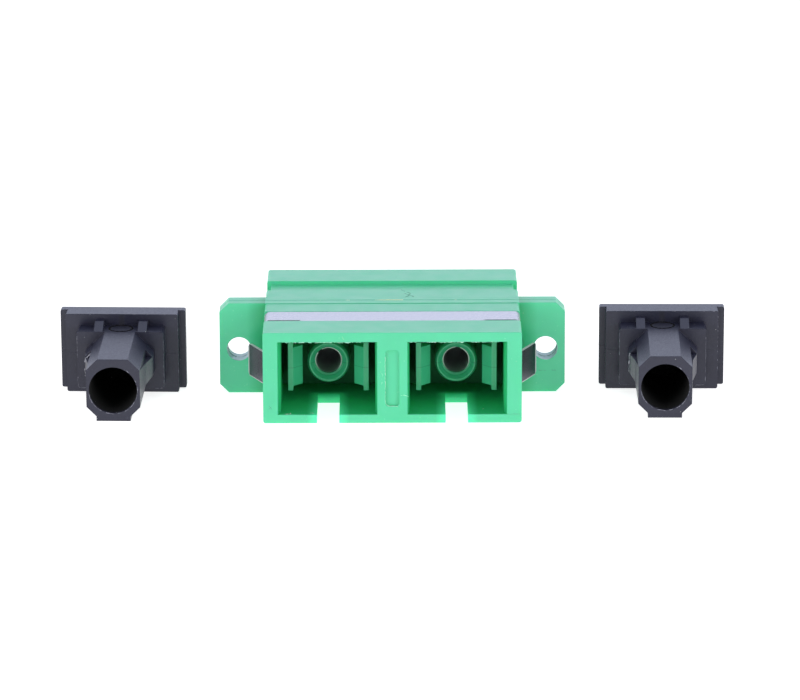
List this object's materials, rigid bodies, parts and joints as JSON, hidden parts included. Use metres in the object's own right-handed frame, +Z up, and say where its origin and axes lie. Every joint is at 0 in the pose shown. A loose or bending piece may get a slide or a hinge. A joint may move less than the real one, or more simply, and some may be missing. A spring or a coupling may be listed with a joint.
{
  "type": "fibre optic adapter",
  "caption": "Flanged duplex adapter for push-pull fibre optic plugs, with a spring panel clip, floating split sleeves in hooked latch inserts, and loose dust caps beside it.",
  "frame": {"origin": "middle of the two flange screw holes, on the welded seam between the housing halves", "axes": "+X across the two ports, towards the right one seen from the front; -Y out of the front ports, +Y out of the rear ports; +Z up"},
  "size_m": [0.0669, 0.0254, 0.0093],
  "materials": {
    "housing": "satin green moulding",
    "latch": "satin green moulding",
    "sleeve": "nickel-plated bronze",
    "clip": "bright spring steel",
    "cap": "fine-textured soft plastic"
  },
  "bodies": {
    "adapter": {"front_housing": "housing", "rear_housing": "housing", "left_front_latch": "latch", "left_rear_latch": "latch", "right_front_latch": "latch", "right_rear_latch": "latch", "panel_clip": "clip"},
    "left_sleeve": {"left_sleeve": "sleeve"},
    "right_sleeve": {"right_sleeve": "sleeve"},
    "left_cap": {"left_dust_cap": "cap"},
    "right_cap": {"right_dust_cap": "cap"}
  },
  "joints": [
    {"name": "left_sleeve_float", "type": "slide", "parent": "adapter", "child": "left_sleeve", "axis": [0, 1, 0], "range_m": [-0.00018, 0.00018]},
    {"name": "right_sleeve_float", "type": "slide", "parent": "adapter", "child": "right_sleeve", "axis": [0, 1, 0], "range_m": [-0.00018, 0.00018]},
    {"name": "left_cap_lift", "type": "slide", "parent": "adapter", "child": "left_cap", "axis": [0, 0, 1], "range_m": [0, 0.02]},
    {"name": "right_cap_lift", "type": "slide", "parent": "adapter", "child": "right_cap", "axis": [0, 0, 1], "range_m": [0, 0.02]}
  ]
}
